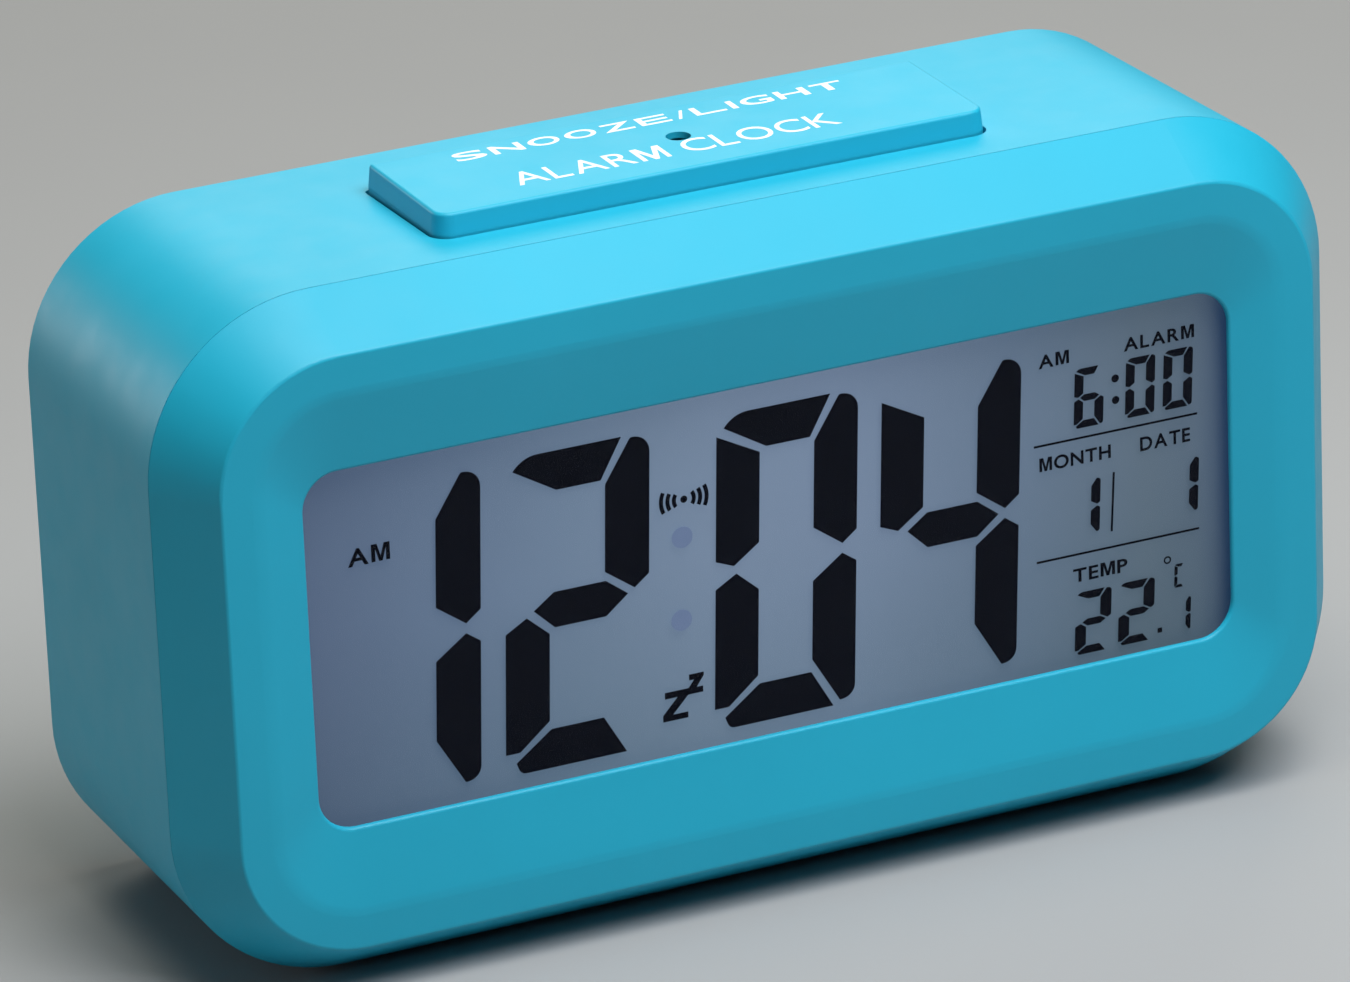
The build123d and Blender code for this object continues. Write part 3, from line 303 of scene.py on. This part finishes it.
GROUND = (0.055, 0.070, 0.085)  # what the display's ground reflects, next to what it emits
DISPLAY_GLOW_AND_EDGE_SHADE = [  # place across the display in millimetres, and the colour of the light there
    (-53.0, (0.072, 0.110, 0.196)),
    (-40.0, (0.101, 0.154, 0.252)),
    (-22.0, (0.138, 0.204, 0.305)),
    (-6.0, (0.170, 0.238, 0.350)),
    (8.0, (0.168, 0.234, 0.350)),
    (29.0, (0.114, 0.170, 0.256)),
    (44.0, (0.090, 0.134, 0.185)),
    (50.0, (0.075, 0.115, 0.168)),
    # The last two stops, darker and more violet, are painted shade of the bezel over the display's right
    # edge, on top of the backlight's glow.
    (52.0, (0.050, 0.084, 0.141)),
    (53.6, (0.012, 0.038, 0.096)),
]
DISPLAY_REACH = 56.0  # the light is laid out between these two places, either side of the middle
BRIGHT_RISE = 4.0  # the brightest height, above the display's middle
BRIGHT_REACH = 24.0  # from there to the dimmest
FALL_OFF = [  # the light upwards, from one reach below the brightest height to one above it
    (0.0, (0.74, 0.80, 0.78)),
    (0.45, (1.0, 1.0, 1.0)),
    (0.62, (1.0, 1.0, 1.0)),
    (1.0, (0.78, 0.80, 0.82)),
]
CLOUD = [(NOISE_LOW, (0.97, 0.97, 0.965)), (NOISE_HIGH, (1.0, 1.0, 1.0))]


def lit_display():
    """The backlit ground of the display: grey-blue, brighter in the middle, with painted shade of the
    bezel in the dark violet band at its right edge.
    """
    made = Shader("lit_display", GROUND, 0.5)
    made.set("Specular IOR Level", 0.1)
    place = made.node("ShaderNodeSeparateXYZ")
    made.link(made.coordinates(), place.inputs["Vector"])
    across = made.spread(place.outputs["X"], 0.0, 1.0, -DISPLAY_REACH * MM, DISPLAY_REACH * MM)
    stops = [((x + DISPLAY_REACH) / (2 * DISPLAY_REACH), color) for x, color in DISPLAY_GLOW_AND_EDGE_SHADE]
    # The glow across the display, which carries the painted shade of the bezel at its right edge.
    glow = made.ramp(across, stops)
    bright_z = MID_Z + BRIGHT_RISE
    upward = made.spread(place.outputs["Z"], 0.0, 1.0,
                         (bright_z - BRIGHT_REACH) * MM, (bright_z + BRIGHT_REACH) * MM)
    fall_off = made.ramp(upward, FALL_OFF)
    cloud = made.ramp(made.noise(16.0, 2.0), CLOUD)
    for factor in (fall_off, cloud):
        mix = made.node("ShaderNodeMix")
        mix.data_type = "RGBA"
        mix.blend_type = "MULTIPLY"
        mix.inputs["Factor"].default_value = 1.0
        made.link(glow, mix.inputs["A"])
        made.link(factor, mix.inputs["B"])
        glow = mix.outputs["Result"]
    made.link(glow, made.main.inputs["Emission Color"])
    made.set("Emission Strength", 1.0)
    return made.material


def figure_ink(name, color):
    """Printed or driven figures: an almost flat colour with a trace of unevenness."""
    made = Shader(name, color, 0.5)
    made.set("Specular IOR Level", 0.03)
    made.vary_color(made.noise(1.5, 3.0), shade(color, 0.9), shade(color, 1.1))
    made.vary_roughness(made.noise(0.6, 2.0), 0.44, 0.56)
    return made.material


def faint_figure():
    """A segment that isn't driven: only a little darker and more violet than the ground."""
    made = Shader("undriven_segment", GROUND, 0.5)
    made.set("Specular IOR Level", 0.1)
    glow = made.ramp(made.noise(2.0, 2.0),
                     [(NOISE_LOW, (0.110, 0.160, 0.288)), (NOISE_HIGH, (0.116, 0.168, 0.300))])
    made.link(glow, made.main.inputs["Emission Color"])
    made.set("Emission Strength", 1.0)
    return made.material


# ---------------------------------------------------------------- mesh helpers


def new_piece(name, mesh, body, material):
    piece = bpy.data.objects.new(name, mesh)
    bpy.context.scene.collection.objects.link(piece)
    piece.data.materials.clear()
    piece.data.materials.append(material)
    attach(piece, body)
    return piece


def rounded(corners, steps=7):
    """An outline from corners (u, v) or (u, v, radius): a radius puts a tangent arc there."""
    points = []
    count = len(corners)
    for index, corner in enumerate(corners):
        here = Vector(corner[:2])
        if len(corner) == 2:
            points.append(here)
            continue
        before = (Vector(corners[index - 1][:2]) - here).normalized()
        after = (Vector(corners[(index + 1) % count][:2]) - here).normalized()
        half = before.angle(after) / 2
        reach = corner[2] / math.tan(half)
        centre = here + (before + after).normalized() * (corner[2] / math.sin(half))
        start = here + before * reach - centre
        sweep = start.angle_signed(here + after * reach - centre)
        for step in range(steps + 1):
            turn = -sweep * step / steps
            points.append(centre + Matrix.Rotation(turn, 2) @ start)
    return points


def plate(outlines, mapping, depth):
    """Closed plates, one for each outline of (u, v) points, placed by mapping(u, v, rise)."""
    mesh = bpy.data.meshes.new("plate")
    work = bmesh.new()
    for outline in outlines:
        rear = [work.verts.new(mapping(u, v, 0.0)) for u, v in outline]
        front = [work.verts.new(mapping(u, v, depth)) for u, v in outline]
        work.faces.new(front)
        work.faces.new(rear[::-1])
        for index in range(len(outline)):
            after = (index + 1) % len(outline)
            work.faces.new((front[after], front[index], rear[index], rear[after]))
    bmesh.ops.recalc_face_normals(work, faces=work.faces)
    bmesh.ops.triangulate(work, faces=[face for face in work.faces if len(face.verts) > 4])
    work.to_mesh(mesh)
    work.free()
    return mesh


FIGURE_THICKNESS = 0.02  # of every figure and printed letter


def plates(outlines, mapping, depth=FIGURE_THICKNESS):
    """The same, from outlines and a mapping in millimetres."""
    return plate(outlines, lambda u, v, rise: mapping(u, v, rise) * MM, depth)


def on_display(u, v, rise):
    """The display's figures lie about its middle, with their fronts on the display's front face."""
    return Vector((u, LCD_LOW.y + FIGURE_THICKNESS - rise, MID_Z + v))


def on_bar(u, v, rise):
    return Vector((u, v, BAR_TOP + rise))


def on_back(u, v, rise):
    """Words on the back read from behind, so they run towards -X."""
    return Vector((-u, BACK_Y + rise, v))


# The built-in font at size 1: its stroke, capitals and the space between words.
STROKE = 0.098
CAP_HEIGHT = 0.682
CAPITAL_M_WIDTH = 0.62
SPACE = 0.28
NARROW = 0.35  # letters narrower than this are never stretched


def capital_m(weight):
    """The outline of an M, which the built-in font can't make bolder without crossing itself."""
    stem = STROKE + 2 * weight
    height = CAP_HEIGHT + 2 * weight
    width = CAPITAL_M_WIDTH + 2 * weight
    middle = width / 2
    left = [(0.0, 0.0), (0.0, height), (1.45 * stem, height)]
    inner = [(stem, 0.0), (stem, 0.72 * height), (middle - 0.45 * stem, 0.0)]
    right = [(width - u, v) for u, v in reversed(left)]
    inner_right = [(width - u, v) for u, v in inner]
    return left + [(middle, 0.30 * height)] + right + inner_right + inner[::-1]


def letter_mesh(letter, weight):
    """One letter as a closed plate of thickness 1, at size 1."""
    if letter == "M":
        return plate([capital_m(weight)], lambda u, v, rise: Vector((u, v, rise - 0.5)), 1.0)
    text = bpy.data.curves.new("letter", "FONT")
    text.body = letter
    text.offset = weight
    text.extrude = 0.5
    text.resolution_u = 5
    carrier = bpy.data.objects.new("letter", text)
    bpy.context.scene.collection.objects.link(carrier)
    bpy.context.view_layer.update()
    mesh = bpy.data.meshes.new_from_object(carrier.evaluated_get(bpy.context.evaluated_depsgraph_get()))
    bpy.data.objects.remove(carrier)
    return mesh


def lettering(words, left, right, low, high, mapping, weight=0.0, gap=0.10, even=None):
    """Words as closed thin plates, fitted from left to right and low to high in a face's own u and v.

    Where even is given, all but narrow letters get that width, and keep their left stem as it is.
    """
    stem = STROKE + 2 * weight
    meshes = []
    pen = 0.0
    for letter in words:
        if letter == " ":
            pen += SPACE
            continue
        mesh = letter_mesh(letter, 0.0 if letter == "/" else weight)
        start = min(vertex.co.x for vertex in mesh.vertices)
        width = max(vertex.co.x for vertex in mesh.vertices) - start
        stretch = (even - stem) / (width - stem) if even and width > NARROW else 1.0
        for vertex in mesh.vertices:
            reach = vertex.co.x - start
            vertex.co.x = pen + min(reach, stem) + max(reach - stem, 0.0) * stretch
        meshes.append(mesh)
        pen = max(vertex.co.x for vertex in mesh.vertices) + gap
    floor = min(vertex.co.y for mesh in meshes for vertex in mesh.vertices)
    ceiling = max(vertex.co.y for mesh in meshes for vertex in mesh.vertices)
    for mesh in meshes:
        for vertex in mesh.vertices:
            u = left + vertex.co.x * (right - left) / (pen - gap)
            v = low + (vertex.co.y - floor) * (high - low) / (ceiling - floor)
            vertex.co = mapping(u, v, FIGURE_THICKNESS * (vertex.co.z + 0.5)) * MM
    return joined("words", meshes)


MERGE_DISTANCE = 1e-8


def joined(name, meshes):
    """Several meshes as one, with outward normals."""
    work = bmesh.new()
    for mesh in meshes:
        work.from_mesh(mesh)
    bmesh.ops.remove_doubles(work, verts=work.verts, dist=MERGE_DISTANCE)
    bmesh.ops.recalc_face_normals(work, faces=work.faces)
    result = bpy.data.meshes.new(name)
    work.to_mesh(result)
    work.free()
    return result


# ---------------------------------------------------------------- display figures

SLANT = 0.045  # the figures lean to the right by this much per height
CELL_WIDTH = 16.35
CELL_HEIGHT = 35.2

# The seven segments of a large figure, from its cell's lower left corner.
SEGMENTS = {
    "a": [(0.82, 33.75), (2.0, 35.2, 3.4), (13.1, 35.2), (10.8, 30.85), (5.75, 30.85)],
    "b": [(11.3, 20.6), (11.3, 30.3), (14.1, 34.9, 0.5), (16.35, 35.3, 1.9), (16.35, 19.5), (14.7, 18.2)],
    "c": [(11.3, 5.75), (11.3, 14.6), (14.7, 17.1), (16.35, 15.95), (16.35, 0.7, 1.5), (14.6, 0.5)],
    "d": [(5.2, 4.35), (11.2, 4.35), (13.85, 0.0), (1.75, 0.0, 0.9), (1.2, 1.3)],
    "e": [(2.4, 17.3), (5.0, 15.05), (5.0, 5.3), (1.63, 2.45), (0.0, 2.45), (0.0, 15.9)],
    "f": [(0.0, 32.95), (5.0, 30.35), (5.0, 20.3), (2.1, 18.2), (0.0, 19.05)],
    "g": [(3.2, 17.9), (5.5, 19.6), (11.4, 19.6), (13.95, 17.7), (11.45, 15.65), (5.6, 15.65)],
}


def figure(left, low, width, height, segments):
    """The outlines of one figure's driven segments, about the display's middle."""
    outlines = []
    for segment in segments:
        points = rounded(SEGMENTS[segment])
        scaled = [(left + u * width / CELL_WIDTH, low + v * height / CELL_HEIGHT) for u, v in points]
        outlines.append([(u + SLANT * v, v) for u, v in scaled])
    return outlines


def stroke(start, end, width):
    """A straight bar between two points about the display's middle."""
    a = Vector(start)
    b = Vector(end)
    aside = (b - a).orthogonal().normalized() * (width / 2)
    return [tuple(p) for p in (a + aside, b + aside, b - aside, a - aside)]


def disc(u, v, radius, sides=24):
    angles = [2 * math.pi * step / sides for step in range(sides)]
    return [(u + radius * math.cos(t), v + radius * math.sin(t)) for t in angles]


def arc_band(u, v, radius, width, start, end, steps):
    """Part of a ring, from one angle to another in degrees."""
    angles = [math.radians(start + (end - start) * step / steps) for step in range(steps + 1)]
    outer = [(radius + width / 2, t) for t in angles]
    inner = [(radius - width / 2, t) for t in reversed(angles)]
    return [(u + r * math.cos(t), v + r * math.sin(t)) for r, t in outer + inner]


def snooze_sign(u, v):
    """A large and a small leaning Z that run into each other, from the large one's lower left corner."""
    outline = [(0.0, 0.0), (0.0, 0.72), (1.75, 2.55), (0.3, 2.55), (0.3, 3.28), (3.05, 3.28),
               (3.72, 4.12), (3.15, 4.12), (3.15, 4.78), (4.85, 4.78), (4.85, 4.42), (3.98, 3.22),
               (4.72, 3.22), (4.72, 2.55), (2.98, 2.55), (1.15, 0.66), (2.9, 0.66), (2.9, 0.0)]
    return [(u + x, v + y) for x, y in outline]


SOUND_ARCS = ((1.15, 36), (1.88, 29), (2.62, 26))  # radius, and half of the arc's angle in degrees
SOUND_ARC_WIDTH = 0.46
DOT_SIDES = 16


def sound_sign(u, v):
    """The alarm sign: a dot with three arcs on each side."""
    outlines = [disc(u, v, 0.40, DOT_SIDES)]
    for radius, half in SOUND_ARCS:
        for middle in (0, 180):
            outlines.append(arc_band(u, v, radius, SOUND_ARC_WIDTH, middle - half, middle + half, 6))
    return outlines


BIG_LOW = -18.65
FIGURES = [  # left, low, width, height about the display's middle, and the driven segments
    (-49.93, BIG_LOW, CELL_WIDTH, CELL_HEIGHT, "bc"),
    (-30.78, BIG_LOW, CELL_WIDTH, CELL_HEIGHT, "abged"),
    (-6.77, BIG_LOW, CELL_WIDTH, CELL_HEIGHT, "abcdef"),
    (12.34, BIG_LOW, CELL_WIDTH, CELL_HEIGHT, "bcfg"),
    (35.04, 6.8, 3.5, 6.7, "acdefg"),
    (41.14, 6.8, 3.5, 6.7, "abcdef"),
    (45.64, 6.8, 3.5, 6.7, "abcdef"),
    (34.84, -5.4, 3.56, 6.2, "bc"),
    (46.64, -5.4, 3.56, 6.2, "bc"),
    (35.7, -19.1, 4.3, 7.15, "abged"),
    (40.9, -19.1, 4.3, 7.15, "abged"),
    (47.7, -18.9, 1.95, 3.8, "bc"),
    (47.56, -13.8, 1.25, 2.7, "adef"),
]
ALARM_DOTS = ((40.4, 11.6), (40.4, 9.15))  # between the alarm's hour and minutes
ALARM_DOT_RADIUS = 0.45
DECIMAL_POINT = ((44.85, -18.3), (45.4, -18.3), 0.55)
RULES = (  # ends and width of the lines that divide the right-hand column
    ((30.6, 5.7), (50.1, 5.7), 0.25),
    ((30.6, -7.5), (50.1, -7.5), 0.25),
    ((40.0, 1.0), (39.6, -5.7), 0.25),
)
DEGREE_RING = (46.2, -10.4, 0.36, 0.18)  # middle, radius and width


def display_outlines():
    """Every driven figure on the display, about its middle, in millimetres."""
    outlines = []
    for row in FIGURES:
        outlines += figure(*row)
    outlines += [disc(u, v, ALARM_DOT_RADIUS, DOT_SIDES) for u, v in ALARM_DOTS]
    outlines.append(stroke(*DECIMAL_POINT))
    outlines += [stroke(*rule) for rule in RULES]
    outlines += [arc_band(*DEGREE_RING, start, start + 180, 8) for start in (0, 180)]
    outlines += sound_sign(-10.11, 8.2)
    outlines.append(snooze_sign(-13.48, -16.35))
    return outlines


DISPLAY_WORDS = [  # words, left, right, low, high about the display's middle
    ("AM", -48.0, -43.3, 8.4, 10.4),
    ("AM", 31.4, 35.0, 14.4, 15.95),
    ("ALARM", 41.5, 49.9, 14.4, 15.95),
    ("MONTH", 31.2, 39.7, 2.7, 4.3),
    ("DATE", 43.2, 49.2, 2.7, 4.3),
    ("TEMP", 34.9, 41.4, -10.7, -9.1),
]
DISPLAY_WORD_WEIGHT = 0.022
COLON_DOTS = ((-10.47, 4.0), (-10.91, -5.26))
COLON_RADIUS = 1.2
FIGURE_GAP = 0.42  # from the figures' plane back to the lit ground
GROUND_INSET = 0.6  # of the lit ground, inside the display's glass


def make_display():
    """The figures float in front of the lit ground, as they do between a display's two glasses."""
    low_u, high_u = LCD_LOW.x + GROUND_INSET, LCD_HIGH.x - GROUND_INSET
    low_v, high_v = LCD_LOW.z + GROUND_INSET - MID_Z, LCD_HIGH.z - GROUND_INSET - MID_Z
    corners = [(low_u, low_v), (high_u, low_v), (high_u, high_v), (low_u, high_v)]
    ground = plates([corners], lambda u, v, rise: Vector((u, LCD_HIGH.y - rise, MID_Z + v)),
                    LCD_HIGH.y - LCD_LOW.y - FIGURE_GAP)
    piece = new_piece("lcd_ground", ground, "root", lit_display())
    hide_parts("lcd_panel")

    ink = figure_ink("driven_segment", (0.0028, 0.0040, 0.0090))
    new_piece("lcd_figures", plates(display_outlines(), on_display), "root", ink)
    words = [lettering(*row, on_display, DISPLAY_WORD_WEIGHT) for row in DISPLAY_WORDS]
    new_piece("lcd_words", joined("lcd_words", words), "root", ink)
    dots = plates([disc(u, v, COLON_RADIUS) for u, v in COLON_DOTS], on_display)
    new_piece("lcd_colon", dots, "root", faint_figure())


# ---------------------------------------------------------------- printing on the case

# The back's labels are the first words of these nodes' names.
LABELLED_NODES = ("mode_key", "set_key", "up_key", "down_key",
                  "alarm_switch_housing", "sensor_switch_housing")
LABEL_HEIGHT = 1.7
PANEL_TOP_Z = 63.5  # the upper edge of the recess that the keys stand in
LABEL_RISE = 2.0  # from there to the labels
LETTER_PITCH = 0.84  # a label's length for each letter, at height 1
LABEL_WEIGHT = 0.012


def label(node):
    """A word on the back above a key's or switch's node, at its natural width."""
    word = node.split("_")[0].upper()
    node_low, node_high = box_mm(node)
    middle = -(node_low.x + node_high.x) / 2
    half = LETTER_PITCH / 2 * LABEL_HEIGHT * len(word)
    low = PANEL_TOP_Z + LABEL_RISE
    return lettering(word, middle - half, middle + half, low, low + LABEL_HEIGHT, on_back, LABEL_WEIGHT)


def make_printing():
    """The two lines on the snooze bar, and the labels on the back."""
    white = figure_ink("white_print", (0.80, 0.83, 0.85))
    far_line = lettering("SNOOZE/LIGHT", -23.1, 22.0, 5.3, 7.8, on_bar, weight=0.014, gap=0.13, even=0.66)
    near_line = lettering("ALARM CLOCK", -20.5, 16.6, -4.6, -0.7, on_bar)
    both = joined("bar_printing", [far_line, near_line])
    new_piece("bar_printing", both, "snooze_bar", white)

    labels = [label(node) for node in LABELLED_NODES]
    new_piece("back_labels", joined("back_labels", labels), "root", white)


# ---------------------------------------------------------------- materials onto the CAD nodes


def dress_nodes():
    """Gives every CAD node its material."""
    case = satin_plastic()
    dark = plain_plastic("dark_plastic", (0.012, 0.012, 0.014), 0.45)
    white = plain_plastic("white_plastic", (0.70, 0.70, 0.68), 0.5)
    epoxy = plain_plastic("black_epoxy", (0.008, 0.008, 0.009), 0.25, grain_mm=1.0)
    ceramic = plain_plastic("pale_ceramic", (0.60, 0.44, 0.26), 0.55)
    nickel = metal("nickel_plate", (0.62, 0.60, 0.56), 0.3)
    zinc = metal("zinc_plate", (0.55, 0.56, 0.58), 0.35)
    brass = metal("brass_disc", (0.70, 0.50, 0.20), 0.3)
    board = circuit_board()
    by_slot = {
        "case_plastic": case,
        "foot_rubber": rubber("foot_rubber", (0.020, 0.020, 0.021)),
        "screw_steel": zinc,
        "clear_lens": clear_acrylic(),
        "lcd_glass": dark,
        "light_guide": frosted_acrylic(),
        "white_plastic": white,
        "connector_rubber": zebra_rubber(),
        "circuit_board": board,
        "black_epoxy": epoxy,
        "bright_metal": nickel,
        "sensor_ceramic": ceramic,
        "black_plastic": dark,
        "buzzer_brass": brass,
        "red_insulation": rubber("red_insulation", (0.40, 0.015, 0.012)),
        "black_insulation": rubber("black_insulation", (0.012, 0.012, 0.012)),
        "grey_insulation": rubber("grey_insulation", (0.30, 0.31, 0.33)),
    }
    by_node = {
        # Painted shade: the light sensor gets black epoxy instead of its pale ceramic, so that the hole
        # above it reads dark.
        "light_sensor": epoxy,
        "battery_lower": cell_sleeve("battery_lower", 1),
        "battery_middle": cell_sleeve("battery_middle", -1),
        "battery_upper": cell_sleeve("battery_upper", 1),
    }
    for row in frame["record"]["subparts"]:
        node = NODES[row["node"]]
        node.data.materials.clear()
        node.data.materials.append(by_node.get(row["node"]) or by_slot[row["material_slot"]])


# ---------------------------------------------------------------- studio

FLOOR_SIZE = 6.0  # in metres, as everything in this section
LAMP_AIM = (0.0, 0.0, 0.04)


def make_floor():
    mesh = bpy.data.meshes.new("floor")
    half = FLOOR_SIZE / 2
    corners = [(-half, -half, 0), (half, -half, 0), (half, half, 0), (-half, half, 0)]
    mesh.from_pydata(corners, [], [(0, 1, 2, 3)])
    floor = bpy.data.objects.new("floor", mesh)
    bpy.context.scene.collection.objects.link(floor)
    made = Shader("floor_paper", (0.38, 0.385, 0.39), 0.8)
    made.vary_roughness(made.noise(30.0, 2.0), 0.76, 0.84)
    mesh.materials.append(made.material)


def area_light(name, place, size, power, color=(1.0, 1.0, 1.0)):
    """A rectangular lamp that faces the clock's middle."""
    data = bpy.data.lights.new(name, "AREA")
    data.shape = "RECTANGLE"
    data.size = size[0]
    data.size_y = size[1]
    data.energy = power
    data.color = color
    lamp = bpy.data.objects.new(name, data)
    bpy.context.scene.collection.objects.link(lamp)
    lamp.location = place
    aim = Vector(LAMP_AIM) - Vector(place)
    lamp.rotation_mode = "QUATERNION"
    lamp.rotation_quaternion = aim.to_track_quat("-Z", "Y")


def make_studio():
    """Two soft lights above, one of them forward and to the right, two behind, and a weak surround."""
    area_light("overhead", (-0.03, -0.07, 0.55), (0.36, 0.36), 1.40, (1.0, 0.98, 0.87))
    area_light("key", (0.10, -0.24, 0.52), (0.36, 0.36), 3.10, (0.98, 1.0, 1.05))
    area_light("rim_right", (0.30, 0.64, 0.47), (0.60, 0.42), 1.95, (1.0, 0.98, 0.86))
    area_light("rim_left", (-0.46, 0.66, 0.15), (0.22, 0.20), 1.05)
    world = bpy.data.worlds.new("studio")
    world.use_nodes = True
    surround = world.node_tree.nodes["Background"]
    surround.inputs["Color"].default_value = (0.9, 0.95, 1.0, 1.0)
    surround.inputs["Strength"].default_value = 0.03
    bpy.context.scene.world = world
    bpy.context.scene.view_settings.view_transform = "Standard"


# ---------------------------------------------------------------- everything

make_camera()
dress_nodes()
make_display()
make_printing()
make_floor()
make_studio()
